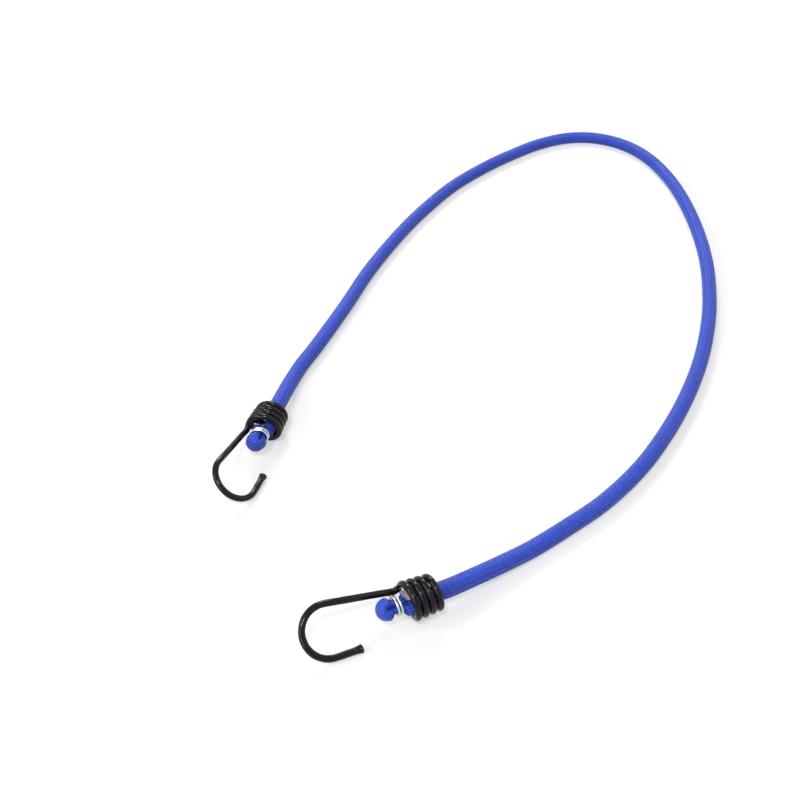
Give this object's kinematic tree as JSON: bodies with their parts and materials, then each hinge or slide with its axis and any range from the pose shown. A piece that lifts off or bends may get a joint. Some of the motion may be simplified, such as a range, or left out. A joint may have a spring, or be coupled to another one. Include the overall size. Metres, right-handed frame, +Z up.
{
  "type": "bungee cord",
  "caption": "Elastic tie-down cord: braided sheath over rubber strands, folded and wire-clipped at both ends, with a swivelling coated wire hook on each end.",
  "frame": {"origin": "on the table the cord lies on, under the middle of the box that holds both hooks", "axes": "+Z up from the table, +X to the right and +Y away from the viewer in the picture's view"},
  "size_m": [0.2745, 0.4549, 0.0179],
  "materials": {
    "braided_sheath": "satin blue braid",
    "rubber_core": "cut natural rubber",
    "coated_wire": "glossy black plastic coat on steel wire",
    "bright_wire": "bright zinc plated wire"
  },
  "bodies": {
    "cord": {"sheath": "braided_sheath", "core_strand_centre": "rubber_core", "core_strand_1": "rubber_core", "core_strand_2": "rubber_core", "core_strand_3": "rubber_core", "core_strand_4": "rubber_core", "core_strand_5": "rubber_core", "core_strand_6": "rubber_core", "clip_a": "bright_wire", "clip_b": "bright_wire"},
    "hook_a": {"hook_a": "coated_wire"},
    "hook_b": {"hook_b": "coated_wire"}
  },
  "joints": [
    {"name": "hook_a_swivel", "type": "hinge", "parent": "cord", "child": "hook_a", "pos_m": [0.0365, -0.0475, 0.00903], "axis": [-0.9063, -0.4226, 0], "continuous": true},
    {"name": "hook_b_swivel", "type": "hinge", "parent": "cord", "child": "hook_b", "pos_m": [-0.0325, 0.0585, 0.00903], "axis": [-0.2672, -0.9636, 0], "continuous": true}
  ]
}
